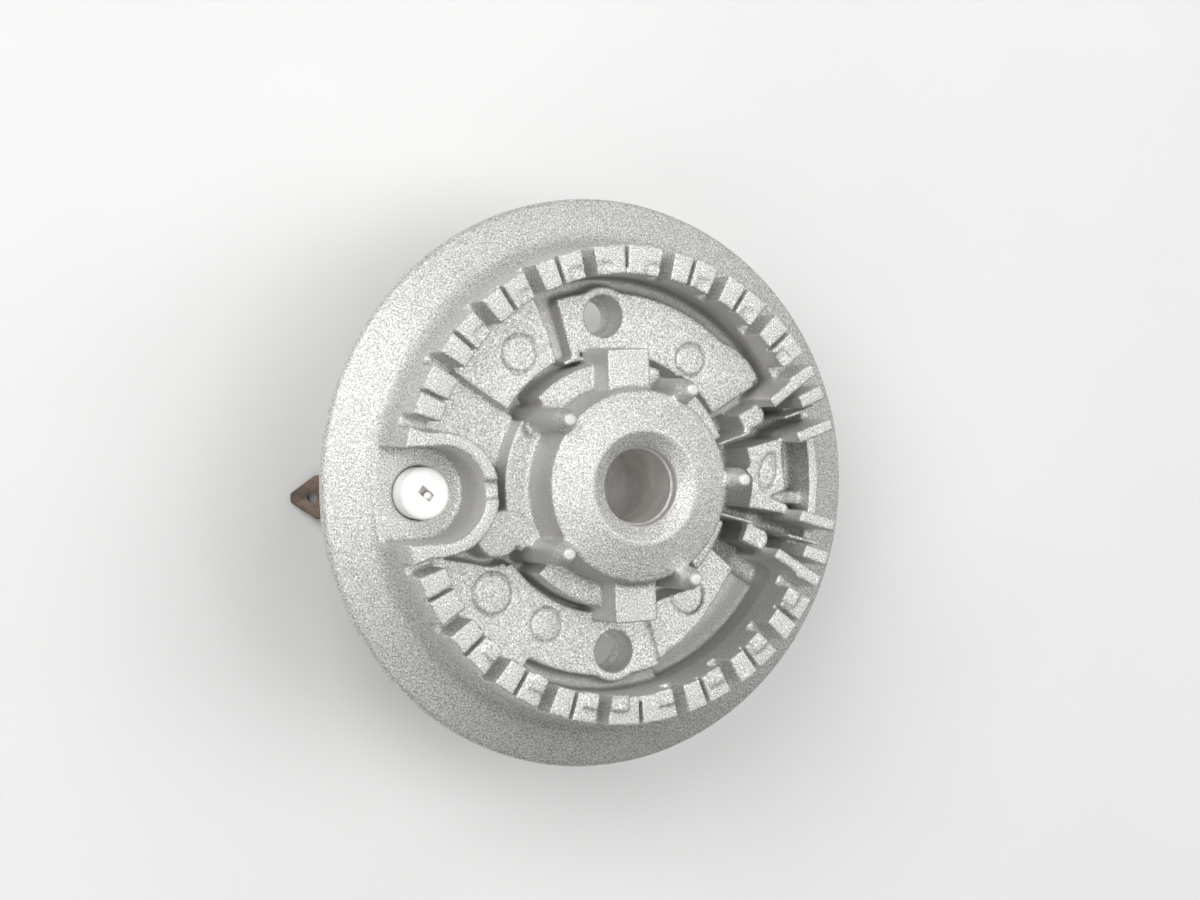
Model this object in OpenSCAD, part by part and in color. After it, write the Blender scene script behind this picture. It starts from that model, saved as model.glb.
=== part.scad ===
// Gas burner head: a die-cast body with a ring of flame slots, and its ignition electrode.
// Millimetres. +Z is up the burner axis, and z = 0 is the bottom edge of the flange.
// The electrode stands at -X, and the cut-down stretch of the crown is at +X.

/* [Flange] */
// Outer radius of the flange
flange_r = 39.4; // [38:0.1:41]
// Height of the flange's upright edge
rim_h = 1.8; // [1.2:0.1:2.4]
// Radius on the top of the edge
rim_round = 0.6; // [0.3:0.1:0.8]
// Slope of the flange's top, in degrees
flange_slope = 25; // [18:1:30]
// Radius of the hollow curve from the flange up to the crown
foot_fillet = 3.4; // [2.5:0.1:3.8]
// Thickness of the casting's walls
skin = 2; // [1.6:0.1:2.2]

/* [Crown] */
// Outer radius of the crown
crown_r = 32.45; // [32:0.05:33]
// Inner radius of the crown
crown_in_r = 28.4; // [28:0.1:28.8]
// Height of the crown's flat top
crown_top = 13.7; // [13:0.1:14.5]
// Height of the floors of the flame slots
slot_floor = 8.9; // [8:0.1:10]
// Width of a flame slot
slot_w = 1.75; // [1.2:0.05:2]
// Width of the narrow groove in the middle of a tooth
groove_w = 0.5; // [0.4:0.05:0.9]
// Depth of the narrow groove
groove_depth = 1.7; // [1:0.1:3]
// Angle of the first slot from the +X axis
slot_start = 30.4; // [30:0.1:31]
// Step from slot to slot on the +X side
slot_step_front = 15.6; // [15.4:0.1:15.8]
// Angle of the first slot past the wide tooth at 90 degrees
slot_start_rear = 99; // [98:0.1:100]
// Step from slot to slot on the -X side
slot_step_rear = 15.8; // [15.6:0.1:15.9]

/* [Bowl] */
// Height of the raised floor that carries the screws
floor_z = 7.1; // [6.5:0.1:8]
// Outer radius of that floor
floor_r = 26.3; // [26:0.1:27]
// Height of the higher of the two raised fields on that floor
field_z = 8.6; // [8:0.1:9.5]
// Height of the bottom of the gutter inside the crown
gutter_z = 4.4; // [4:0.1:5.5]
// Outer radius of the channel around the hub
channel_r = 18.6; // [18.4:0.1:19]
// Height of the bottom of the channel around the hub
channel_z = 3; // [2.6:0.1:4]

/* [Hub] */
// Outer radius of the hub at its edge
hub_r = 12.93; // [12.5:0.01:13.1]
// Outer radius of the hub at the bottom of the channel
hub_foot_r = 13.9; // [13.3:0.1:14.1]
// Height of the hub's outer edge
hub_edge_z = 17; // [16:0.1:18]
// Height of the hub's inner edge
hub_top_z = 18.6; // [17.6:0.1:19]
// Radius of the countersink
mouth_r = 7.53; // [7:0.01:8]
// Depth of the countersink
mouth_depth = 1.3; // [1:0.1:2]
// Radius of the throat at its upper edge
throat_r = 5.3; // [5.2:0.1:5.5]
// Radius of the throat below its step
throat_low_r = 5; // [4.5:0.1:5.1]
// Depth of the step below the countersink
throat_step = 1.3; // [1:0.1:3]
// Outer radius of the tube under the hub
tube_r = 8.2; // [7.6:0.1:8.6]
// How far the tube reaches below the flange
tube_drop = 8; // [5:0.5:10]

/* [Studs and pads around the hub] */
// Radius of the circle that the studs stand on
stud_ring_r = 14.4; // [14.2:0.1:14.6]
// Height of the studs' tips
stud_top = 19.9; // [18.5:0.1:20.5]
// Radius of a stud at its tip
stud_tip_r = 0.95; // [0.7:0.05:1.2]
// Radius of a stud at its shoulder
stud_shoulder_r = 1.6; // [1.55:0.05:1.7]
// Radius of a stud at its foot
stud_foot_r = 1.75; // [1.7:0.05:1.9]
// Outer radius of the low arcs
arc_out_r = 16.8; // [16.4:0.1:16.9]
// Height of the low arcs
arc_z = 10.5; // [10:0.1:12]
// Width of the two tall square pads
pad_w = 6.3; // [5.5:0.1:6.6]
// Far edge of a square pad, from the axis
pad_far = 18.4; // [18.1:0.1:19.2]
// Height of the square pads
pad_z = 14.8; // [13:0.1:15.5]

/* [Screw holes] */
// Distance between the two screw holes
screw_span = 46; // [45:0.1:47]
// Radius of a hole's wide upper part
screw_head_r = 2.85; // [2.6:0.05:3]
// Radius of the hole through the seat
screw_r = 2.25; // [2:0.05:2.4]
// Height of the seat in the hole
screw_seat_z = 2.4; // [1.5:0.1:4]
// Radius of the round boss around a hole
screw_boss_r = 4.1; // [4:0.1:4.4]

/* [Electrode bay] */
// Distance of the electrode from the burner axis
electrode_x = 27; // [26.8:0.1:27.5]
// Half the width of the bay
bay_r = 6.35; // [6:0.05:6.5]
// Thickness of the lip around the bay
bay_lip = 1.9; // [1.6:0.1:2.2]
// Height of the floor of the bay
bay_floor = 4.8; // [4.4:0.1:5.2]
// Clearance around the insulator
bay_clearance = 0.15; // [0.1:0.05:0.3]

/* [Electrode] */
// Radius of the insulator
insulator_r = 3.5; // [3.3:0.05:3.7]
// Height of the insulator's upper end
insulator_top = 7.9; // [6.5:0.1:8.2]
// Height of the insulator's lower end
insulator_bottom = -18.5; // [-20:0.5:-17]
// Radius of the collar that bears on the underside of the casting
collar_r = 4.8; // [4.5:0.1:5]
// Radius of the wire inside the insulator
wire_r = 0.55; // [0.5:0.05:0.6]
// Width of the terminal blade
blade_w = 6.3; // [4.8:0.1:6.3]
// Thickness of the terminal blade and of its stem
blade_t = 0.8; // [0.6:0.1:1]

/* [Hidden] */
$fn = 96;
over = 1;
seam = 0.2;
over_angle = 1;
seam_angle = 0.5;

electrode_y = 0;
fin_top = 11;
bay_x = -electrode_x;
flange_in = flange_r - rim_round;
foot_x = crown_r + foot_fillet;
foot_end = 270 - flange_slope;
foot_low_r = foot_x + foot_fillet * cos(foot_end);
foot_low_z = rim_h + (flange_in - foot_low_r) * tan(flange_slope);
foot_z = foot_low_z - foot_fillet * sin(foot_end);
floor_under = floor_z - skin;
gutter_under = gutter_z - skin;
screw_y = screw_span / 2;
throat_edge_z = hub_top_z - mouth_depth;
hollow_out_r = hub_r - skin;
hub_root = 0.8;
hub_in_r = hub_r - hub_root;
hollow_top = hub_edge_z - skin;
casting_under = 0.8;
boss_bottom = -2;
boss_r = insulator_r + bay_clearance + skin;

slot_angles = concat(
    [for (i = [0:3]) slot_start + i * slot_step_front],
    [for (i = [0:4]) slot_start_rear + i * slot_step_rear]);
groove_shift = 0.5;
groove_angles = [for (i = [0:7]) (slot_angles[i] + slot_angles[i + 1]) / 2 + groove_shift];

// Points of an arc, from one angle to another
function arc_points(cx, cy, r, a0, a1, steps) =
    [for (i = [0:steps]) [cx + r * cos(a0 + (a1 - a0) * i / steps), cy + r * sin(a0 + (a1 - a0) * i / steps)]];

// Half section of the turned form of the casting, from the axis outwards
casting_section = concat(
    [[flange_r, 0]],
    arc_points(flange_r - rim_round, rim_h - rim_round, rim_round, 0, 90 - flange_slope, 4),
    arc_points(foot_x, foot_z, foot_fillet, foot_end, 180, 8),
    [[crown_r, crown_top], [crown_in_r, crown_top], [crown_in_r, floor_z],
     [channel_r, floor_z], [channel_r, channel_z], [hub_foot_r, channel_z],
     [hub_r, hub_edge_z], [mouth_r, hub_top_z], [throat_r, throat_edge_z],
     [throat_r, throat_edge_z - throat_step], [throat_low_r, throat_edge_z - throat_step],
     [throat_low_r, -tube_drop], [tube_r, -tube_drop], [tube_r, hollow_top], [hollow_out_r, hollow_top],
     [hollow_out_r, casting_under], [channel_r + skin, casting_under], [channel_r + skin, floor_under],
     [floor_r - skin, floor_under], [floor_r - skin, gutter_under], [foot_low_r - skin, gutter_under],
     [flange_in - skin, rim_h - skin / 2], [flange_in - skin, 0]]);

module turned_casting() {
    rotate_extrude($fn = 180) polygon(casting_section);
}

// A wedge of a ring between two angles and two radii
module ring_field(r_in, r_out, a0, a1, z0, z1) {
    translate([0, 0, z0])
        rotate([0, 0, a0])
            rotate_extrude(angle = a1 - a0, $fn = 180)
                translate([r_in, 0]) square([r_out - r_in, z1 - z0]);
}

// An upright bar from one point to another, flat on top
module bar(from, to, w, z0, z1) {
    d = to - from;
    translate([from[0], from[1], z0])
        rotate([0, 0, atan2(d[1], d[0])])
            translate([0, -w / 2, 0]) cube([norm(d), w, z1 - z0]);
}

// Both sides of the X axis
module both_sides() {
    children();
    mirror([0, 1, 0]) children();
}

// The gutter between the floor and the crown, interrupted by the screw bosses
gutter_span = [-119, 116.5];
gutter_out_r = crown_in_r + 0.05;
module gutter_cut() {
    difference() {
        ring_field(floor_r, gutter_out_r, gutter_span[0], gutter_span[1], gutter_z, crown_top + over);
        both_sides() translate([0, screw_y, 0]) cylinder(h = crown_top, r = screw_boss_r);
    }
}
module screw_bosses() {
    both_sides() translate([0, screw_y, casting_under])
        cylinder(h = floor_under - casting_under + seam, r = screw_boss_r);
}

// Fields of the floor around the channel: two angles, the inner radius and the height
field_a = [113, 145];
field_b = [-75, -32];
field_b_in = 17.5;
field_b_z = 8;
floor_edges = [
    [field_a[0], field_a[1], channel_r, field_z],
    [101.5, 110, 17.4, floor_z],
    [field_a[1] - seam, 170, 17, floor_z],
    [214, 260, 17.6, floor_z],
    [52, 74, 18.1, floor_z]];
field_b_shape = [[4, -16.8], [6.3, -24.6], [10, -22.2], [13, -19.7],
    [15.8, -16.1], [18.3, -12.6], [14.5, -9], [11.6, -11.8], [12.7, -14.7]];
// Stretch where the floor reaches further out over the gutter
floor_bulge = [[17, 19.2], [19.4, 18.5], [20.5, 17.8], [22.2, 16.2], [23.3, 14.5], [23.5, 13.6], [22, 13]];
module raised_fields() {
    for (f = floor_edges) ring_field(f[2], channel_r + over, f[0], f[1], channel_z - seam, f[3]);
    ring_field(channel_r, crown_in_r + seam, field_a[0], field_a[1], floor_under + seam, field_z);
    intersection() {
        ring_field(field_b_in, floor_r, field_b[0], field_b[1], channel_z - seam, field_b_z);
        linear_extrude(height = field_b_z) polygon(field_b_shape);
    }
    translate([0, 0, gutter_under + seam]) linear_extrude(height = floor_z - gutter_under - seam)
        polygon(floor_bulge);
}
// Beyond the second field the gutter is wider and deeper
module wide_gutter() {
    difference() {
        ring_field(channel_r, deep_r, field_b[0] + seam_angle, field_b[1] + over_angle,
            deep_z, crown_top + over);
        linear_extrude(height = crown_top) polygon(field_b_shape);
    }
}
// The casting is thicker below where it is cut deep
deep_z = 2.4;
deep_r = crown_in_r + 0.15;
deep_under = 0.2;
deep_span = [-80, 34];
bay_side_span = [180, 222];
groove_patch = [[-8.2, 24.2], [-6.6, 18.6]];
module under_patch(a0, a1, z_low) {
    ring_field(channel_r + seam, floor_r - skin + seam, a0, a1, z_low, floor_under + seam);
    ring_field(floor_r - skin, crown_r, a0, a1, z_low, gutter_under + seam);
}
module thick_patches() {
    under_patch(deep_span[0], deep_span[1], deep_under);
    ring_field(channel_r + seam, floor_r - skin + seam, bay_side_span[0], bay_side_span[1],
        gutter_under, floor_under + seam);
    bar(groove_patch[0], groove_patch[1], cross_groove_w + skin, gutter_under, floor_under + seam);
}

// Low arcs, tall pads and studs around the hub
arc_ends = [[20, 45.5], [66, 80], [98, 133.5], [146, 209.5], [223, 262], [313, 340]];
stud_angles = [1, 61, 140, 215.5, 297.7];
stud_shoulder = 2.3;
stud_neck = 0.8;
stud_round = 0.4;
stud_section = concat(
    [[0, channel_z - seam], [stud_foot_r, channel_z - seam], [stud_shoulder_r, stud_top - stud_shoulder],
     [stud_tip_r, stud_top - stud_neck]],
    arc_points(stud_tip_r - stud_round, stud_top - stud_round, stud_round, 0, 90, 4),
    [[0, stud_top]]);
// Chipped end of one of the arcs
arc_notch_at = [-12.7, 8.2];
arc_notch_r = 1.1;
arc_notch_depth = 1;
module hub_surround() {
    difference() {
        for (a = arc_ends) ring_field(hub_in_r, arc_out_r, a[0], a[1], channel_z - seam, arc_z);
        translate([arc_notch_at[0], arc_notch_at[1], arc_z - arc_notch_depth])
            cylinder(h = over + arc_notch_depth, r = arc_notch_r, $fn = 48);
    }
    both_sides() translate([-pad_w / 2, hub_in_r, channel_z - seam])
        cube([pad_w, pad_far - hub_in_r, pad_z - channel_z + seam]);
    for (a = stud_angles) rotate([0, 0, a]) translate([stud_ring_r, 0, 0])
        rotate_extrude($fn = 48) polygon(stud_section);
}

// The window side: a low wall, a block, two pads and the slanted teeth
window_wall_in = 31;
window_wall_z = 7.6;
window_floor = 1.6;
block_z = 8.8;
block_shape = [[20.6, -4.2], [26.9, -5.5], [26.5, -1.4], [26.2, 1.2], [26.1, 3.7], [26.6, 5.5], [20.6, 4.2],
    [21.1, 1.7], [20.2, 1.1], [21.3, -0.2], [21.1, -2.2]];
block_mark_at = [23.9, 0.6];
block_mark_r = [1.25, 2.5];
block_mark_turn = -16;
block_mark_inner = 0.86;
gate_from = [24.2, -2.9];
gate_to = [31, -3.4];
gate_drop = 3;
gate_notch = 1;
gate_notch_shape = [[23.8, -2.8], [28.1, -1.5], [28.1, -4.6]];
gate_w = 1.8;
window_pad = [[19.9, 7.5], [22.2, 8.6]];
window_pad_w = 2.7;
fin_w = 0.5;
fin_low = [[16, 4.8], [21.2, 6.3]];
fin_tall = [[25.5, 8.2], [30.6, 9.7]];
tooth_1 = [[26.1, 5.4], [33, 7.6]];
tooth_1_w = 1.7;
tooth_2 = [19.3, 23];
window_end = 25.6;
window_low_half = 18.5;
window_deep = [-33, 25];
window_step = [24, 29];
tooth_r = crown_r - 0.1;
tooth_3 = [[22.2, 10.3], [30.5, 16]];
tooth_3_w = 1.6;
module window_inside() {
    difference() {
        translate([0, 0, window_floor - seam]) linear_extrude(height = block_z - window_floor + seam)
            polygon(block_shape);
        translate([0, 0, block_z - gate_notch]) linear_extrude(height = over)
            polygon(gate_notch_shape);
        translate([block_mark_at[0], block_mark_at[1], block_z - ring_line]) rotate([0, 0, block_mark_turn])
            scale([block_mark_r[0], block_mark_r[1], 1])
            difference() {
                cylinder(h = over, r = 1);
                translate([0, 0, -over]) cylinder(h = 3 * over, r = block_mark_inner);
            }
    }
    gate_slope();
    both_sides() {
        bar(window_pad[0], window_pad[1], window_pad_w, window_floor - seam, block_z);
        translate([window_pad[1][0], window_pad[1][1], window_floor - seam])
            cylinder(h = block_z - window_floor + seam, r = window_pad_w / 2, $fn = 48);
        bar(fin_low[0], fin_low[1], fin_w, window_floor - seam, block_z + seam);
        bar(fin_tall[0], fin_tall[1], fin_w, window_floor - seam, fin_top);
    }
}
// The stump of the gate, which slopes down from the block to the low wall
module gate_slope() {
    d = gate_to - gate_from;
    gate_top = block_z - gate_notch;
    gate_low = window_floor - seam;
    translate([gate_from[0], gate_from[1], 0])
        rotate([0, 0, atan2(d[1], d[0])]) rotate([90, 0, 0]) translate([0, 0, -gate_w / 2])
            linear_extrude(height = gate_w)
                polygon([[0, gate_low], [norm(d), gate_low], [norm(d), gate_top - gate_drop], [0, gate_top]]);
}
module window_teeth() {
    intersection() {
        both_sides() {
            bar(tooth_1[0], tooth_1[1], tooth_1_w, window_floor - seam, crown_top);
            bar(tooth_3[0], tooth_3[1], tooth_3_w, window_floor - seam, crown_top);
        }
        translate([0, 0, deep_under]) cylinder(h = crown_top - deep_under, r = tooth_r, $fn = 180);
    }
}
module window_cut() {
    for (side = [0, 1]) mirror([0, side, 0])
        ring_field(crown_in_r - seam, crown_r + over, tooth_2[1], window_end, window_wall_z, crown_top + over);
    ring_field(crown_in_r - seam, crown_r + over, -tooth_2[0], tooth_2[0], window_wall_z, crown_top + over);
    ring_field(floor_r - over, window_wall_in, -window_low_half, window_low_half,
        window_floor, crown_top + over);
    ring_field(channel_r - seam, deep_r, window_deep[0], window_deep[1], window_floor, crown_top + over);
    ring_field(channel_r - seam, deep_r, window_step[0], window_step[1], gutter_z - seam, crown_top + over);
}

// The bay of the electrode: a U-shaped lip around a flat floor
module bay_shape(r, h) {
    linear_extrude(height = h) union() {
        circle(r = r);
        translate([-flange_r, -r]) square([flange_r, 2 * r]);
    }
}
module bay_lip_solid() {
    intersection() {
        translate([bay_x, electrode_y, gutter_under]) bay_shape(bay_r + bay_lip, crown_top - gutter_under);
        translate([0, 0, gutter_under]) cylinder(h = crown_top, r = crown_r, $fn = 180);
    }
}
module bay_boss() {
    translate([bay_x, electrode_y, boss_bottom])
        cylinder(h = bay_floor - boss_bottom - seam, r = boss_r);
}
module bay_cut() {
    translate([bay_x, electrode_y, bay_floor]) bay_shape(bay_r, crown_top);
    translate([bay_x, electrode_y, boss_bottom - over])
        cylinder(h = bay_floor - boss_bottom + 2 * over, r = insulator_r + bay_clearance);
}
// The lip is a little lower where an ejector blade pressed on it
lip_notch = [-0.9, 1.6];
lip_notch_depth = 0.6;
module lip_notch_cut() {
    translate([bay_x + bay_r - over, lip_notch[0], crown_top - lip_notch_depth])
        cube([bay_lip + 2 * over, lip_notch[1] - lip_notch[0], over]);
}
// Round pad beside the lip, with a trench around its outer side
round_pad_at = [-17.7, -5.8];
round_pad_r = 3.2;
round_pad_z = 10;
trench_w = 1.2;
trench_run = [[-24.4, -7.6], [-19, -8.6]];
module round_pad() {
    translate([round_pad_at[0], round_pad_at[1], channel_z - seam])
        cylinder(h = round_pad_z - channel_z + seam, r = round_pad_r);
}
module pad_trench() {
    translate([round_pad_at[0], round_pad_at[1], gutter_z]) cylinder(h = crown_top, r = round_pad_r + trench_w);
    bar(trench_run[0], trench_run[1], 2 * trench_w, gutter_z, crown_top);
}

module flame_slots() {
    both_sides() for (a = slot_angles) rotate([0, 0, a])
        translate([crown_in_r - over, -slot_w / 2, slot_floor])
            cube([crown_r - crown_in_r + 3 * over, slot_w, crown_top]);
}
module narrow_grooves() {
    both_sides() for (a = groove_angles) rotate([0, 0, a])
        translate([crown_in_r - over, -groove_w / 2, crown_top - groove_depth])
            cube([crown_r - crown_in_r + 3 * over, groove_w, crown_top]);
}

// Marks of the blades and pins that pushed the casting out of its mould
blade_mark_w = 1.9;
blade_mark_h = 0.3;
blade_from = 1.9;
blade_to = 6.2;
blade_last = [92.4, 97];
blade_spans = concat([for (i = [0:6]) [slot_angles[i] + blade_from, slot_angles[i] + blade_to]], [blade_last]);
pin_rings = [[-13.2, 18.2, 2.5], [13.1, 16.6, 2.2], [-17.6, -14, 2.8], [-9.9, -18.7, 2.25], [11.1, -16.1, 2.4]];
pin_ring_z = [field_z, floor_z, floor_z, floor_z, field_b_z];
ring_line = 0.3;
module blade_marks(z0, z1) {
    for (a = blade_spans) ring_field(crown_in_r - seam, crown_in_r + blade_mark_w, a[0], a[1], z0, z1);
}
module pin_marks() {
    for (i = [0:len(pin_rings) - 1]) translate([pin_rings[i][0], pin_rings[i][1], pin_ring_z[i] - ring_line])
        difference() {
            cylinder(h = over, r = pin_rings[i][2] + ring_line / 2);
            translate([0, 0, -over]) cylinder(h = 3 * over, r = pin_rings[i][2] - ring_line / 2);
        }
}

// The open groove that runs from a slot in to the channel
cross_groove = [[-8.9, 26.6], [-6.3, 17]];
cross_groove_w = 3;
module cross_groove_cut() {
    bar(cross_groove[0], cross_groove[1], cross_groove_w, gutter_z - seam, crown_top);
}

module screw_holes() {
    both_sides() translate([0, screw_y, 0]) {
        translate([0, 0, screw_seat_z]) cylinder(h = crown_top, r = screw_head_r);
        translate([0, 0, -over]) cylinder(h = crown_top, r = screw_r);
    }
}

// Room around the tall pads
moat = 0.35;
module pad_moat() {
    both_sides() translate([-pad_w / 2 - moat, channel_r - 2 * over, channel_z])
        cube([pad_w + 2 * moat, pad_far + moat - channel_r + 2 * over, crown_top]);
}

module burner_casting() {
    color([0.78, 0.78, 0.77]) difference() {
        union() {
            difference() {
                union() {
                    difference() {
                        turned_casting();
                        gutter_cut();
                    }
                    screw_bosses();
                    raised_fields();
                    thick_patches();
                }
                wide_gutter();
                pad_moat();
                pad_trench();
                cross_groove_cut();
                window_cut();
                flame_slots();
                narrow_grooves();
            }
            hub_surround();
            window_inside();
            window_teeth();
            bay_lip_solid();
            bay_boss();
            round_pad();
            mirror([0, 1, 0]) blade_marks(crown_top - over, crown_top + blade_mark_h);
        }
        blade_marks(crown_top - blade_mark_h, crown_top + over);
        pin_marks();
        bay_cut();
        lip_notch_cut();
        screw_holes();
        translate([0, 0, -tube_drop - over]) cylinder(h = hub_top_z + tube_drop + 2 * over, r = throat_low_r);
    }
}

// Ceramic rod with a domed end, a collar and a slot for the wire's tip
collar_top = boss_bottom;
collar_h = 2.4;
top_round = 0.8;
tip_slot = [2.2, 1.2];
tip_slot_turn = -40;
tip_slot_depth = 1.6;
wire_gap = 0.05;
insulator_section = concat(
    [[0, insulator_top]],
    arc_points(insulator_r - top_round, insulator_top - top_round, top_round, 90, 0, 6),
    [[insulator_r, collar_top], [collar_r, collar_top], [collar_r, collar_top - collar_h],
     [insulator_r, collar_top - collar_h], [insulator_r, insulator_bottom], [0, insulator_bottom]]);
module insulator() {
    color([0.95, 0.95, 0.94]) translate([bay_x, electrode_y, 0]) difference() {
        rotate_extrude() polygon(insulator_section);
        translate([0, 0, insulator_top - tip_slot_depth]) rotate([0, 0, tip_slot_turn])
            translate([-tip_slot[0] / 2, -tip_slot[1] / 2, 0])
                cube([tip_slot[0], tip_slot[1], over + tip_slot_depth]);
        rotate([0, 0, tip_slot_turn]) translate([wire_shift, 0, insulator_bottom - over])
            cylinder(h = insulator_top - insulator_bottom, r = wire_r + wire_gap);
    }
}

// Wire down the middle of the insulator, flattened where it meets the tab
wire_shift = 0.5;
wire_sunk = 0.5;
wire_top = insulator_top - wire_sunk;
wire_x = bay_x + wire_shift * cos(tip_slot_turn);
wire_y = wire_shift * sin(tip_slot_turn);
foot_h = 3.4;
foot_w = 1.6;
foot_gap = 0.3;
stem_face = wire_x - wire_r;
module electrode_wire() {
    color([0.72, 0.7, 0.66]) union() {
        translate([wire_x, wire_y, insulator_bottom - foot_h])
            cylinder(h = wire_top - insulator_bottom + foot_h, r = wire_r, $fn = 48);
        translate([stem_face, wire_y - foot_w / 2, insulator_bottom - foot_h])
            cube([wire_r, foot_w, foot_h - foot_gap]);
    }
}

// Terminal: an upright stem bent outwards into a pointed blade with a hole
stem_w = 4;
bend_z = -25.2;
blade_slope = 28;
blade_len = 6.9;
blade_taper = 3.6;
blade_corner = blade_taper - blade_len;
blade_tip_w = 1.2;
blade_hole_r = 0.7;
blade_hole_back = 0.4;
blade_shoulder = 0.6;
stem_gap = 0.2;
tab_y = -1.35;
module terminal_tab() {
    color([0.32, 0.27, 0.24]) union() {
        translate([stem_face - blade_t, tab_y - stem_w / 2, bend_z])
            cube([blade_t, stem_w, insulator_bottom - stem_gap - bend_z]);
        translate([stem_face - blade_t, tab_y + stem_w / 2, bend_z]) rotate([90, 0, 0])
            cylinder(h = stem_w, r = blade_t, $fn = 48);
        translate([stem_face - blade_t, tab_y, bend_z]) rotate([0, -blade_slope, 0]) difference() {
            translate([0, 0, -blade_t]) linear_extrude(height = blade_t)
                polygon([[0, -stem_w / 2], [-blade_shoulder, -blade_w / 2], [blade_corner, -blade_w / 2],
                         [-blade_len, -blade_tip_w / 2], [-blade_len, blade_tip_w / 2],
                         [blade_corner, blade_w / 2], [-blade_shoulder, blade_w / 2], [0, stem_w / 2]]);
            translate([blade_corner - blade_hole_back, 0, -2 * blade_t])
                cylinder(h = 4 * blade_t, r = blade_hole_r, $fn = 48);
        }
    }
}

// Spring clip: a strip under the collar with two arms that grip the boss
clip_t = 0.6;
clip_w = 10;
clip_gap = 0.1;
clip_hole_r = insulator_r + clip_gap;
clip_z = collar_top - collar_h;
clip_arm_h = 4.2;
module electrode_clip() {
    color([0.6, 0.6, 0.6]) translate([bay_x, electrode_y, clip_z]) {
        difference() {
            translate([-clip_w / 2, -boss_r - clip_t, -clip_t])
                cube([clip_w, 2 * (boss_r + clip_t), clip_t]);
            translate([0, 0, -over]) cylinder(h = 2 * over, r = clip_hole_r);
        }
        both_sides() translate([-clip_w / 2, boss_r, -clip_t])
            cube([clip_w, clip_t, clip_arm_h + clip_t]);
    }
}

burner_casting();
insulator();
electrode_wire();
terminal_tab();
electrode_clip();
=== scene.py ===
import math

import bpy
import numpy as np
from mathutils import Matrix, Vector


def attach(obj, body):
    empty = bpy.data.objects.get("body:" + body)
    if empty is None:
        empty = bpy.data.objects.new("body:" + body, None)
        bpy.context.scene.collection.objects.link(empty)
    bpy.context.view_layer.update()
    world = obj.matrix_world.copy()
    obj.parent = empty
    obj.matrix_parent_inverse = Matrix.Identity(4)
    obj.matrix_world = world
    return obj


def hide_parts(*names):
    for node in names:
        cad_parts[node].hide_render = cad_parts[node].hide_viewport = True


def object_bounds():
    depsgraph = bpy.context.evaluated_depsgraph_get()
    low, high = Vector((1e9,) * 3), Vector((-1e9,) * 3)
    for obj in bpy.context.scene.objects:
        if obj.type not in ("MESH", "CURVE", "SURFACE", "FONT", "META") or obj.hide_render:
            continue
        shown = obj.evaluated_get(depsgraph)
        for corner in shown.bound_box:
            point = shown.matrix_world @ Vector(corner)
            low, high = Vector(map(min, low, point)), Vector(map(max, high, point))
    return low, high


# Gas burner head. Metres, in the frame of the CAD part: +Z up the burner axis, the electrode at -X.
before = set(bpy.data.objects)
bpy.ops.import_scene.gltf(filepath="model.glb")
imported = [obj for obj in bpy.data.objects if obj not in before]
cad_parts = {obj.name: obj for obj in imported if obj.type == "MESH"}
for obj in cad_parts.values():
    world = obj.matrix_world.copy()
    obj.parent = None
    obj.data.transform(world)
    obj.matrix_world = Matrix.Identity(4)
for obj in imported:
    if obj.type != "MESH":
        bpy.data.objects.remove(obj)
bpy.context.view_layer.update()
mm = 0.001
weldMm = 0.002
bevelAngle = math.radians(30)
white = (1.0, 1.0, 1.0)


def clearSelection():
    for o in bpy.context.selected_objects:
        o.select_set(False)


def makeActive(obj):
    clearSelection()
    bpy.context.view_layer.objects.active = obj
    obj.select_set(True)


def applyModifier(obj, kind, **settings):
    makeActive(obj)
    mod = obj.modifiers.new(kind.lower(), kind)
    for key, value in settings.items():
        setattr(mod, key, value)
    bpy.ops.object.modifier_apply(modifier=mod.name)


def copyOfNode(nodeName, pieceName):
    # a copy of a CAD node with its loose triangles joined up
    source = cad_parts[nodeName]
    mesh = source.data.copy()
    mesh.materials.clear()
    obj = bpy.data.objects.new(pieceName, mesh)
    bpy.context.scene.collection.objects.link(obj)
    makeActive(obj)
    bpy.ops.object.mode_set(mode="EDIT")
    bpy.ops.mesh.select_all(action="SELECT")
    bpy.ops.mesh.remove_doubles(threshold=weldMm * mm)
    bpy.ops.object.mode_set(mode="OBJECT")
    return obj


def trianglesOf(obj):
    obj.data.calc_loop_triangles()
    return len(obj.data.loop_triangles)


def newMaterial(name):
    mat = bpy.data.materials.new(name)
    mat.use_nodes = True
    tree = mat.node_tree
    return mat, tree, tree.nodes["Principled BSDF"]


def addNode(tree, kind, **settings):
    node = tree.nodes.new(kind)
    for key, value in settings.items():
        setattr(node, key, value)
    return node


def noiseAt(tree, coords, perMm, detail=2.0, rough=0.5):
    node = addNode(tree, "ShaderNodeTexNoise")
    node.inputs["Scale"].default_value = perMm / mm
    node.inputs["Detail"].default_value = detail
    node.inputs["Roughness"].default_value = rough
    tree.links.new(coords, node.inputs["Vector"])
    return node.outputs["Fac"]


def ramp(tree, value, places, colours):
    stops = list(zip(places, colours))
    node = addNode(tree, "ShaderNodeValToRGB")
    while len(node.color_ramp.elements) < len(stops):
        node.color_ramp.elements.new(0.5)
    for element, (place, colour) in zip(node.color_ramp.elements, stops):
        element.position = place
        element.color = (*colour, 1)
    tree.links.new(value, node.inputs["Fac"])
    return node.outputs["Color"]


def mathNode(tree, operation, a, b=None, c=None):
    node = addNode(tree, "ShaderNodeMath", operation=operation)
    for slot, value in enumerate((a, b, c)):
        if value is None:
            continue
        if isinstance(value, (int, float)):
            node.inputs[slot].default_value = value
        else:
            tree.links.new(value, node.inputs[slot])
    return node.outputs[0]


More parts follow.
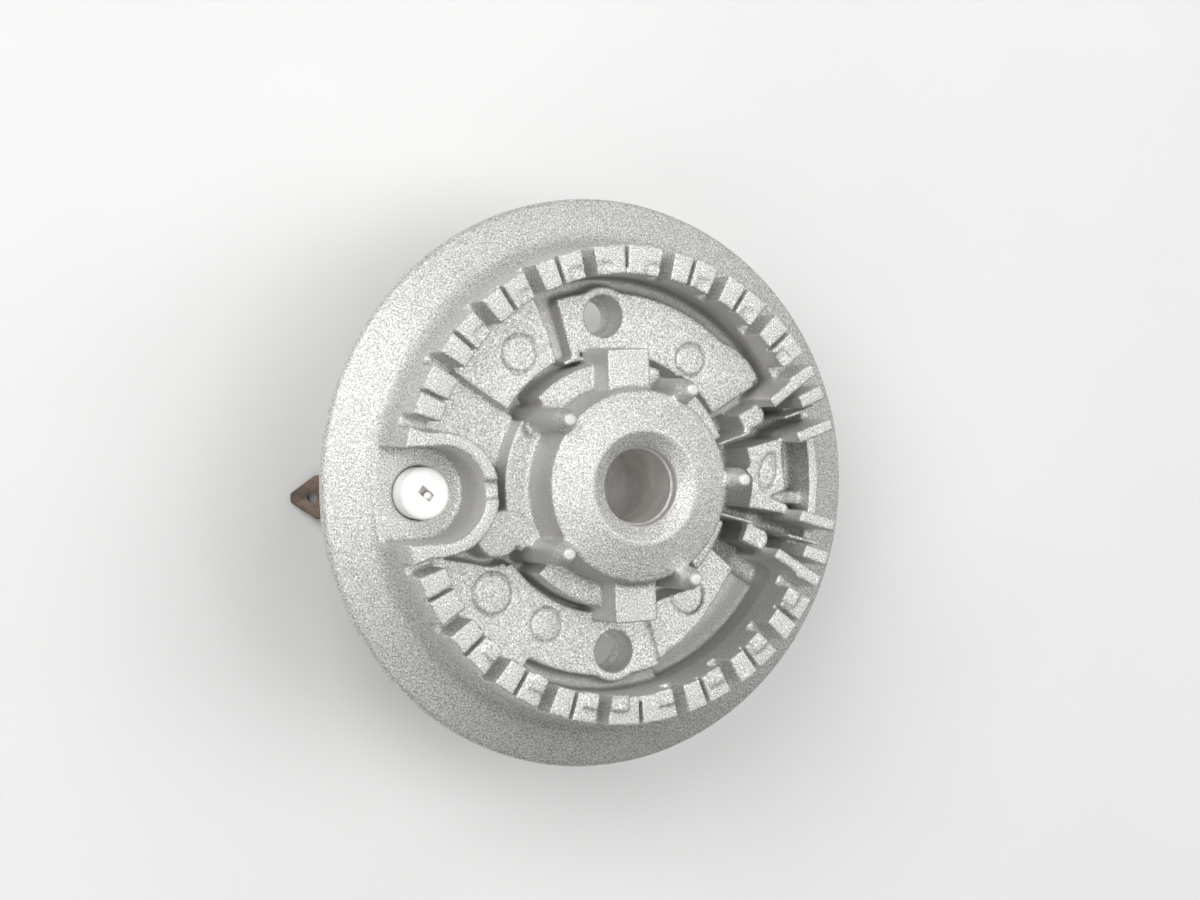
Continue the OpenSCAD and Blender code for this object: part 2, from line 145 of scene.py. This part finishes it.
def mixColour(tree, factor, a, b, blend="MIX"):
    node = addNode(tree, "ShaderNodeMix", data_type="RGBA", blend_type=blend)
    for socket, value in ((0, factor), (6, a), (7, b)):
        if isinstance(value, (int, float)):
            node.inputs[socket].default_value = value
        elif isinstance(value, tuple):
            node.inputs[socket].default_value = (*value, 1)
        else:
            tree.links.new(value, node.inputs[socket])
    return node.outputs[2]


def product(tree, *factors):
    result = factors[0]
    for factor in factors[1:]:
        result = mathNode(tree, "MULTIPLY", result, factor)
    return result


def tinted(tree, colour, tint):
    return mixColour(tree, 1.0, colour, tint, "MULTIPLY")


def stepBetween(tree, value, start, end, unit=mm):
    # 0 up to start, 1 from end on, and end may be the smaller one
    node = addNode(tree, "ShaderNodeMapRange", interpolation_type="SMOOTHSTEP")
    node.inputs["From Min"].default_value = start * unit
    node.inputs["From Max"].default_value = end * unit
    tree.links.new(value, node.inputs["Value"])
    return node.outputs["Result"]


def bumpFrom(tree, height, strength, distanceMm, normal=None):
    node = addNode(tree, "ShaderNodeBump")
    if isinstance(strength, (int, float)):
        node.inputs["Strength"].default_value = strength
    else:
        tree.links.new(strength, node.inputs["Strength"])
    node.inputs["Distance"].default_value = distanceMm * mm
    tree.links.new(height, node.inputs["Height"])
    if normal is not None:
        tree.links.new(normal, node.inputs["Normal"])
    return node.outputs["Normal"]


# In all the looks below a noise is: how many in a millimetre, detail, roughness.
castingLook = {
    "grain": (4.6, 2.0, 0.6),
    "grainStops": (0.34, 0.5, 0.66),
    "grainColours": ((0.37, 0.365, 0.355), (0.66, 0.655, 0.64), (0.93, 0.925, 0.91)),
    "grainBump": 0.9,
    "grainBumpMm": 0.08,
    "fineGrain": (10.58, 2.0, 0.6),
    "fineBump": 0.6,
    "fineBumpMm": 0.032,
    "broad": (0.045, 3.0, 0.55),  # slow changes over the whole casting
    "broadStops": (0.32, 0.68),
    "broadShade": (0.92, 0.92, 0.915),
    # painted glints: bright specks painted into the colour as highlights on facets of the blast
    "paintedGlintPerMm": 2.4,  # how many bright specks in a millimetre, before most are left out
    "paintedGlintShare": 0.16,
    "paintedGlintReach": 0.3,  # size of a speck, as a share of its cell
    "paintedGlintColour": (0.97, 0.965, 0.95),
    "glintRoughness": -0.18,
    "metallic": 0.9,
    "roughness": 0.6,
    "roughnessSpread": 0.3,
    "wallCalm": 0.7,  # how much of the grain the walls inside the crown lose
    "recessCalm": 0.49,  # and the recesses
    "wallTilt": (0.5, 0.2),  # a wall's normal has a Z below this
    # painted shade in seams and inner corners, set by how sharply the surface bends inward
    "paintedCreaseBends": (0.43, 0.487),
    "paintedCreaseShade": 0.55,  # in seams and inner corners
}

# Painted shade: the colour is darker down in the recesses and on the slope of the wide gutter, where shade falls.
# Ranges in mm, from where a shade starts to where it is full.
paintedRecessShadeLook = {
    "rings": (25.2, 26.4, 28.4, 29.2),  # distances from the axis
    "paintedRingShades": (1.0, 0.74, 0.74, 1.0),
    "ringSpan": 30,
    "insideCrown": (29.2, 28.4),
    "heights": (7.0, 5.6),
    "aboveFlange": (2.2, 2.4),
    "besideBay": (6.6, 7.8),  # the bay of the electrode stays as it is
    "pastBay": (-18.0, -16.5),
    # painted shade on the slope of the wide gutter
    "paintedSlopeShade": 0.6,  # on the slope in the wide part of the gutter
    "slopeX": (6.5, 9.5),
    "slopeY": (-3.0, -6.0),
    "slopeInner": (17.5, 19.5),
    "slopeOuter": (25.2, 23.8),
    "slopeHeights": (7.85, 7.2),
}

boreLook = {
    "edge": (5.5, 5.25),
    "ledgeHighlightColour": (0.84, 0.835, 0.82),  # the step, painted light as its highlight
    "cloud": (0.25, 3.0, 0.6),
    "cloudStops": (0.36, 0.64),
    "cloudColours": ((0.66, 0.645, 0.62), (0.80, 0.785, 0.76)),
}

# painted highlights: the tips of the studs painted lighter
studTipHighlightLook = {"heights": (19.1, 19.6), "ring": (12.9, 13.2), "share": 0.6, "colour": (0.80, 0.795, 0.78)}


def placeOf(tree, coords):
    # x, y, z and the distance from the axis
    parts = addNode(tree, "ShaderNodeSeparateXYZ")
    tree.links.new(coords, parts.inputs["Vector"])
    x, y, z = (parts.outputs[axis] for axis in "XYZ")
    radius = mathNode(tree, "MULTIPLY_ADD", y, y, product(tree, x, x))
    return x, y, z, mathNode(tree, "SQRT", radius)


def paintedRecessShade(tree, place):
    # gives the painted shade of each point, and how low down in a recess it is
    look = paintedRecessShadeLook
    x, y, z, radius = place
    offBay = mathNode(tree, "MAXIMUM", stepBetween(tree, mathNode(tree, "ABSOLUTE", y), *look["besideBay"]),
                      stepBetween(tree, x, *look["pastBay"]))
    low = product(tree, stepBetween(tree, z, *look["heights"]), stepBetween(tree, z, *look["aboveFlange"]),
                  stepBetween(tree, radius, *look["insideCrown"]), offBay)
    reach = product(tree, radius, 1 / (look["ringSpan"] * mm))
    rings = ramp(tree, reach, [ring / look["ringSpan"] for ring in look["rings"]],
                 [(paintedShade,) * 3 for paintedShade in look["paintedRingShades"]])
    paintedShade = mixColour(tree, low, white, rings)
    # a deeper painted shade on the slope of the wide gutter
    slope = product(tree, stepBetween(tree, x, *look["slopeX"]), stepBetween(tree, y, *look["slopeY"]),
                    stepBetween(tree, radius, *look["slopeInner"]), stepBetween(tree, radius, *look["slopeOuter"]),
                    stepBetween(tree, z, *look["slopeHeights"]))
    return mixColour(tree, slope, paintedShade, tinted(tree, paintedShade, (look["paintedSlopeShade"],) * 3)), low


# painted highlights: sparse bright specks that stand in for glints on the blasted facets
def paintedGlintMask(tree, coords, calm):
    look = castingLook
    cells = addNode(tree, "ShaderNodeTexVoronoi")
    cells.inputs["Scale"].default_value = look["paintedGlintPerMm"] / mm
    tree.links.new(coords, cells.inputs["Vector"])
    lottery = addNode(tree, "ShaderNodeSeparateColor")
    tree.links.new(cells.outputs["Color"], lottery.inputs["Color"])
    chosen = mathNode(tree, "GREATER_THAN", lottery.outputs[0], 1 - look["paintedGlintShare"])
    near = mathNode(tree, "LESS_THAN", cells.outputs["Distance"], look["paintedGlintReach"])
    return product(tree, chosen, near, mathNode(tree, "SUBTRACT", 1.0, calm))


def boreAndHighlights(tree, coords, place, wall, colour):
    # the turned bore with its step painted light as a highlight, and the tips of the studs painted light as
    # highlights
    z, radius = place[2:]
    inBore = stepBetween(tree, radius, *boreLook["edge"])
    # painted highlight: the step in the bore painted light
    colour = mixColour(tree, inBore, colour, boreLook["ledgeHighlightColour"])
    cloud = noiseAt(tree, coords, *boreLook["cloud"])
    boreColour = ramp(tree, cloud, boreLook["cloudStops"], boreLook["cloudColours"])
    colour = mixColour(tree, product(tree, wall, inBore), colour, boreColour)
    look = studTipHighlightLook
    # painted highlight on the tips of the studs
    high = stepBetween(tree, z, *look["heights"])
    tipHighlight = product(tree, high, stepBetween(tree, radius, *look["ring"]), look["share"])
    return mixColour(tree, tipHighlight, colour, look["colour"])


def blastedAluminium():
    look = castingLook
    mat, tree, shader = newMaterial("blastedAluminium")
    source = addNode(tree, "ShaderNodeTexCoord")
    coords = source.outputs["Object"]
    place = placeOf(tree, coords)
    paintedShade, low = paintedRecessShade(tree, place)
    tilt = addNode(tree, "ShaderNodeSeparateXYZ")
    tree.links.new(source.outputs["Normal"], tilt.inputs["Vector"])
    upright = stepBetween(tree, mathNode(tree, "ABSOLUTE", tilt.outputs["Z"]), *look["wallTilt"], unit=1)
    wall = product(tree, upright, stepBetween(tree, place[3], *paintedRecessShadeLook["insideCrown"]))
    calm = mathNode(tree, "MAXIMUM", product(tree, low, look["recessCalm"]), product(tree, wall, look["wallCalm"]))
    grain = noiseAt(tree, coords, *look["grain"])
    fine = noiseAt(tree, coords, *look["fineGrain"])
    broad = noiseAt(tree, coords, *look["broad"])
    paintedGlint = paintedGlintMask(tree, coords, calm)

    colour = ramp(tree, grain, look["grainStops"], look["grainColours"])
    colour = mixColour(tree, calm, colour, look["grainColours"][1])
    colour = tinted(tree, colour, ramp(tree, broad, look["broadStops"], (look["broadShade"], white)))
    # painted glints, bright specks in the colour
    colour = mixColour(tree, paintedGlint, colour, look["paintedGlintColour"])
    # painted shade down in the recesses and on the slope of the gutter
    colour = tinted(tree, colour, paintedShade)
    colour = boreAndHighlights(tree, coords, place, wall, colour)
    # painted shade in seams and inner corners, where shade falls
    bends = addNode(tree, "ShaderNodeNewGeometry").outputs["Pointiness"]
    colour = tinted(tree, colour, ramp(tree, bends, look["paintedCreaseBends"], ((look["paintedCreaseShade"],) * 3, white)))
    tree.links.new(colour, shader.inputs["Base Color"])

    spread = look["roughnessSpread"]
    rough = mathNode(tree, "MULTIPLY_ADD", fine, spread, look["roughness"] - spread / 2)
    rough = mathNode(tree, "MULTIPLY_ADD", paintedGlint, look["glintRoughness"], rough)
    tree.links.new(rough, shader.inputs["Roughness"])
    shader.inputs["Metallic"].default_value = look["metallic"]
    strength = mathNode(tree, "MULTIPLY_ADD", calm, -look["grainBump"], look["grainBump"])
    bumps = bumpFrom(tree, grain, strength, look["grainBumpMm"])
    bumps = bumpFrom(tree, fine, look["fineBump"], look["fineBumpMm"], bumps)
    tree.links.new(bumps, shader.inputs["Normal"])
    return mat


ceramicLook = {
    "cloud": (0.35, 3.0),
    "cloudStops": (0.35, 0.6),
    "cloudColours": ((0.83, 0.825, 0.80), (0.88, 0.875, 0.85)),
    "speck": (4.0, 1.0),
    "bump": 0.12,
    "bumpMm": 0.03,
    "roughness": 0.22,
    "coat": 0.5,
    "coatRoughness": 0.08,
    "bevelMm": 0.08,
}


def whiteCeramic():
    look = ceramicLook
    mat, tree, shader = newMaterial("whiteCeramic")
    coords = addNode(tree, "ShaderNodeTexCoord").outputs["Object"]
    colour = ramp(tree, noiseAt(tree, coords, *look["cloud"]), look["cloudStops"], look["cloudColours"])
    tree.links.new(colour, shader.inputs["Base Color"])
    speck = noiseAt(tree, coords, *look["speck"])
    tree.links.new(bumpFrom(tree, speck, look["bump"], look["bumpMm"]), shader.inputs["Normal"])
    shader.inputs["Roughness"].default_value = look["roughness"]
    shader.inputs["Coat Weight"].default_value = look["coat"]
    shader.inputs["Coat Roughness"].default_value = look["coatRoughness"]
    return mat


wireLook = {
    "stretch": (1, 1, 0.08),
    "streaks": (9.0, 2.0),
    "stops": (0.3, 0.7),
    "colours": ((0.42, 0.40, 0.37), (0.72, 0.70, 0.66)),
    "metallic": 0.9,
    "roughness": 0.32,
    "bump": 0.3,
    "bumpMm": 0.02,
    "bevelMm": 0.1,
}

clipLook = {
    "stretch": (0.06, 1, 1),
    "streaks": (5.0, 3.0),
    "stops": (0.3, 0.7),
    "colours": ((0.40, 0.40, 0.39), (0.60, 0.60, 0.59)),
    "metallic": 0.95,
    "roughness": 0.34,
    "bump": 0.25,
    "bumpMm": 0.02,
    "bevelMm": 0.12,
}


def streakedMetal(name, look):
    # drawn wire or rolled strip, with streaks along it
    mat, tree, shader = newMaterial(name)
    coords = addNode(tree, "ShaderNodeTexCoord").outputs["Object"]
    stretch = addNode(tree, "ShaderNodeMapping")
    stretch.inputs["Scale"].default_value = look["stretch"]
    tree.links.new(coords, stretch.inputs["Vector"])
    lines = noiseAt(tree, stretch.outputs["Vector"], *look["streaks"])
    tree.links.new(ramp(tree, lines, look["stops"], look["colours"]), shader.inputs["Base Color"])
    shader.inputs["Metallic"].default_value = look["metallic"]
    shader.inputs["Roughness"].default_value = look["roughness"]
    tree.links.new(bumpFrom(tree, lines, look["bump"], look["bumpMm"]), shader.inputs["Normal"])
    return mat


terminalLook = {
    "cloud": (0.6, 4.0, 0.6),
    "stops": (0.3, 0.7),
    "colours": ((0.075, 0.055, 0.042), (0.16, 0.12, 0.095)),
    "fine": (5.0, 2.0),
    "metallic": 0.7,
    "roughness": 0.35,
    "roughnessSpread": 0.3,
    "bump": 0.3,
    "bumpMm": 0.02,
    "bevelMm": 0.12,
}


def heatedSteel():
    # dull brown sheet of the terminal
    look = terminalLook
    mat, tree, shader = newMaterial("heatedSteel")
    coords = addNode(tree, "ShaderNodeTexCoord").outputs["Object"]
    fine = noiseAt(tree, coords, *look["fine"])
    colour = ramp(tree, noiseAt(tree, coords, *look["cloud"]), look["stops"], look["colours"])
    tree.links.new(colour, shader.inputs["Base Color"])
    shader.inputs["Metallic"].default_value = look["metallic"]
    rough = mathNode(tree, "MULTIPLY_ADD", fine, look["roughnessSpread"], look["roughness"])
    tree.links.new(rough, shader.inputs["Roughness"])
    tree.links.new(bumpFrom(tree, fine, look["bump"], look["bumpMm"]), shader.inputs["Normal"])
    return mat


castingShape = {
    "voxelMm": 0.2,
    "fillSteps": 26,  # how far the inner corners are filled
    "fillRate": 0.6,
    "edgeShare": 0.22,  # how much less the outer edges are rounded
    "trianglesKept": 190000,
}

# crisp places, in millimetres and degrees
crispPlaces = {
    "grooveAngles": (38.7, 54.3, 69.9, 88.6, 107.4, 123.2, 139.0, 154.8),
    "grooveHalf": 0.55,
    "grooveLow": 11.6,
    "crownIn": 27.9,
    "crownOut": 33.0,
    "studLow": 17.0,
    "studRing": (13.2, 15.8),
    "throatOut": 5.7,
    "throatLow": 12.0,
    "calm": 0.1,  # share of the rounding that such a place still gets
    "teethLow": 10.5,
    "teethCalm": 0.4,
}

# rings that the ejector pins left: centre, radius, height of the face, depth, and how much deeper one side is
pinRings = (
    ((-13.2, 18.2), 2.5, 8.6, 0.32, 0.1, 200),
    ((13.1, 16.6), 2.2, 7.1, 0.32, 0.15, 150),
    ((-17.6, -14.0), 2.8, 7.1, 0.34, 0.05, 90),
    ((-9.9, -18.7), 2.25, 7.1, 0.26, 0.05, 90),
    ((11.1, -16.1), 2.4, 8.0, 0.26, 0.45, -35),
)
blockMark = {"centre": (23.9, 0.6), "half": (1.25, 2.5), "turn": -16, "top": 8.8, "depth": 0.36}
pressedLine = {"width": 0.19, "upwards": 0.6, "nearMm": 0.5}  # only faces that look up, near the stated height


def linesOn(mesh, place, zTop, distance, depth):
    # presses a line into an upward face: distance is each point's distance from the line, in millimetres
    normals = np.empty(len(mesh.vertices) * 3, dtype=np.float32)
    mesh.vertex_normals.foreach_get("vector", normals)
    up = normals.reshape(-1, 3)[:, 2] > pressedLine["upwards"]
    near = np.abs(place[:, 2] / mm - zTop) < pressedLine["nearMm"]
    press = depth * np.exp(-((distance / pressedLine["width"]) ** 2))
    place[:, 2] -= np.where(up & near, press, 0) * mm


def pressMarks(obj):
    # the pins' rings and the oval on the block, as real hollows
    mesh = obj.data
    place = np.empty(len(mesh.vertices) * 3, dtype=np.float32)
    mesh.vertices.foreach_get("co", place)
    place = place.reshape(-1, 3)
    for (cx, cy), radius, zTop, depth, extra, side in pinRings:
        x, y = place[:, 0] / mm - cx, place[:, 1] / mm - cy
        lean = np.clip(np.cos(np.arctan2(y, x) - math.radians(side)), 0, 1) ** 2
        linesOn(mesh, place, zTop, np.hypot(x, y) - radius, depth + extra * lean)
    mark = blockMark
    turn = math.radians(mark["turn"])
    x, y = place[:, 0] / mm - mark["centre"][0], place[:, 1] / mm - mark["centre"][1]
    across = (x * math.cos(turn) + y * math.sin(turn)) / mark["half"][0]
    along = (-x * math.sin(turn) + y * math.cos(turn)) / mark["half"][1]
    reach = np.hypot(across, along)
    linesOn(mesh, place, mark["top"], (reach - 1) * min(mark["half"]), mark["depth"])
    mesh.vertices.foreach_set("co", place.ravel())
    mesh.update()


def calmShare(place):
    # 1 where the surface is rounded as a whole, less at grooves, stud tips and the step in the throat
    crisp = crispPlaces
    x, y, z = (place[:, axis] / mm for axis in range(3))
    radius = np.hypot(x, y)
    calm = np.zeros(len(place), dtype=bool)
    teeth = (z > crisp["teethLow"]) & (radius > crisp["crownIn"]) & (radius < crisp["crownOut"])
    crown = (z > crisp["grooveLow"]) & (radius > crisp["crownIn"]) & (radius < crisp["crownOut"])
    for angle in crisp["grooveAngles"]:
        for mirror in (1, -1):
            c, s = math.cos(math.radians(angle)), mirror * math.sin(math.radians(angle))
            calm |= crown & (np.abs(x * s - y * c) < crisp["grooveHalf"]) & (x * c + y * s > 0)
    calm |= (z > crisp["studLow"]) & (radius > crisp["studRing"][0]) & (radius < crisp["studRing"][1])
    calm |= (radius < crisp["throatOut"]) & (z > crisp["throatLow"])
    return np.where(calm, crisp["calm"], np.where(teeth, crisp["teethCalm"], 1.0))


def softenCorners(obj, steps, rate, edgeShare):
    # each point moves towards its neighbours, in hollows fully and on edges a little, as paint fills a corner
    mesh = obj.data
    count = len(mesh.vertices)
    place = np.empty(count * 3, dtype=np.float32)
    mesh.vertices.foreach_get("co", place)
    place = place.reshape(-1, 3)
    ends = np.empty(len(mesh.edges) * 2, dtype=np.int32)
    mesh.edges.foreach_get("vertices", ends)
    first, second = ends[0::2], ends[1::2]
    neighbours = np.bincount(first, minlength=count) + np.bincount(second, minlength=count)
    normals = np.empty(count * 3, dtype=np.float32)
    calm = calmShare(place)
    for step in range(steps):
        mesh.vertex_normals.foreach_get("vector", normals)
        total = np.empty_like(place)
        for axis in range(3):
            total[:, axis] = np.bincount(first, place[second, axis], count)
            total[:, axis] += np.bincount(second, place[first, axis], count)
        move = total / neighbours[:, None] - place
        outward = (move * normals.reshape(-1, 3)).sum(axis=1)
        share = np.where(outward > 0, rate, rate * edgeShare) * calm
        place += move * share[:, None]
        mesh.vertices.foreach_set("co", place.ravel())
        mesh.update()


def softCasting():
    # the CAD casting with the small roundings of a die-cast and blasted surface
    shape = castingShape
    body = copyOfNode("burner_casting", "castingBody")
    applyModifier(body, "REMESH", mode="VOXEL", voxel_size=shape["voxelMm"] * mm, adaptivity=0.0)
    print("casting remeshed", trianglesOf(body), "triangles")
    softenCorners(body, shape["fillSteps"], shape["fillRate"], shape["edgeShare"])
    pressMarks(body)
    print("corners softened, marks pressed")
    keep = shape["trianglesKept"] / max(trianglesOf(body), 1)
    if keep < 1:
        applyModifier(body, "DECIMATE", ratio=keep)
    makeActive(body)
    bpy.ops.object.shade_smooth()
    body.data.materials.append(blastedAluminium())
    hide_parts("burner_casting")
    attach(body, "root")
    print("casting done", trianglesOf(body), "triangles")
    return body


def roundedPiece(nodeName, pieceName, bevelMm, material):
    piece = copyOfNode(nodeName, pieceName)
    applyModifier(piece, "BEVEL", width=bevelMm * mm, segments=2, limit_method="ANGLE",
                  angle_limit=bevelAngle, use_clamp_overlap=True)
    makeActive(piece)
    bpy.ops.object.shade_smooth_by_angle(angle=bevelAngle)
    piece.data.materials.append(material)
    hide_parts(nodeName)
    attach(piece, "root")
    print(pieceName, trianglesOf(piece), "triangles")
    return piece


softCasting()
roundedPiece("insulator", "ceramicRod", ceramicLook["bevelMm"], whiteCeramic())
roundedPiece("electrode_wire", "centreWire", wireLook["bevelMm"], streakedMetal("drawnWire", wireLook))
roundedPiece("terminal_tab", "terminalBlade", terminalLook["bevelMm"], heatedSteel())
roundedPiece("electrode_clip", "springClip", clipLook["bevelMm"], streakedMetal("springStrip", clipLook))

floorLook = {
    "halfSizeM": 1.5,
    "cloud": (0.02, 4.0),
    "cloudStops": (0.3, 0.7),
    "cloudColours": ((0.76145, 0.76145, 0.75466), (0.785, 0.785, 0.778)),
    "roughness": 0.75,
}
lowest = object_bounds()[0].z


def paleFloor():
    look = floorLook
    clearSelection()
    bpy.ops.mesh.primitive_plane_add(size=2 * look["halfSizeM"], location=(0, 0, lowest))
    floor = bpy.context.object
    floor.name = "paleFloor"
    mat, tree, shader = newMaterial("paleFloorPaint")
    coords = addNode(tree, "ShaderNodeTexCoord").outputs["Object"]
    colour = ramp(tree, noiseAt(tree, coords, *look["cloud"]), look["cloudStops"], look["cloudColours"])
    tree.links.new(colour, shader.inputs["Base Color"])
    shader.inputs["Roughness"].default_value = look["roughness"]
    floor.data.materials.append(mat)


def softLamp(name, place, sizeM, power):
    # a disc that faces the middle of the burner
    data = bpy.data.lights.new(name, "AREA")
    data.shape = "DISK"
    data.size = sizeM
    data.energy = power
    lamp = bpy.data.objects.new(name, data)
    bpy.context.scene.collection.objects.link(lamp)
    lamp.location = place
    lamp.rotation_euler = (-Vector(place)).to_track_quat("-Z", "Y").to_euler()


# each lamp: where it stands, how wide it is, and its power
lamps = {
    "keyLamp": ((-0.50, 0.36, 0.66), 0.57, 4.40),
    "upperLeftLamp": ((-0.66, 0.52, 0.32), 0.57, 1.13),
    "overheadLamp": ((0.01, 0.01, 0.90), 0.57, 1.81),
    "rightLamp": ((0.39, 0.0, 0.81), 0.57, 1.60),
    "rightEdgeLamp": ((0.69, -0.02, 0.57), 0.57, 1.21),
    "backEdgeLamp": ((0.49, 0.60, 0.46), 0.57, 1.11),
    "backLamp": ((0.22, 0.49, 0.72), 0.57, 0.70),
    "frontLamp": ((-0.52, -0.30, 0.67), 0.57, 1.38),
    "leftLamp": ((-0.68, 0.04, 0.58), 0.57, 0.52),
}
worldLook = {"colour": (0.96, 0.98, 1.0), "strength": 0.03}

paleFloor()
for lampName, (place, width, power) in lamps.items():
    softLamp(lampName, place, width, power)
world = bpy.data.worlds.new("studio")
bpy.context.scene.world = world
world.use_nodes = True
background = world.node_tree.nodes["Background"]
background.inputs["Color"].default_value = (*worldLook["colour"], 1)
background.inputs["Strength"].default_value = worldLook["strength"]

cameraPlace = {
    "position": (-0.154295, 0.015823, 0.342547),
    "rows": ((0.90889861, 0.04057448, -0.41503858),
             (-0.03087462, 0.99907123, 0.03005721),
             (0.41587266, -0.0145048, 0.90930718)),
    "lensMm": 81.0,
    "sensorMm": 36.0,
    "clipM": (0.01, 20),
}
cameraData = bpy.data.cameras.new("photoCamera")
cameraData.lens = cameraPlace["lensMm"]
cameraData.sensor_width = cameraPlace["sensorMm"]
cameraData.sensor_fit = "HORIZONTAL"
cameraData.clip_start, cameraData.clip_end = cameraPlace["clipM"]
photoCamera = bpy.data.objects.new("photoCamera", cameraData)
bpy.context.scene.collection.objects.link(photoCamera)
turn = Matrix(cameraPlace["rows"])
photoCamera.matrix_world = Matrix.Translation(Vector(cameraPlace["position"])) @ turn.to_4x4()
bpy.context.scene.camera = photoCamera
bpy.context.scene.view_settings.view_transform = "Standard"
print("camera, floor and light done")

bpy.context.view_layer.update()
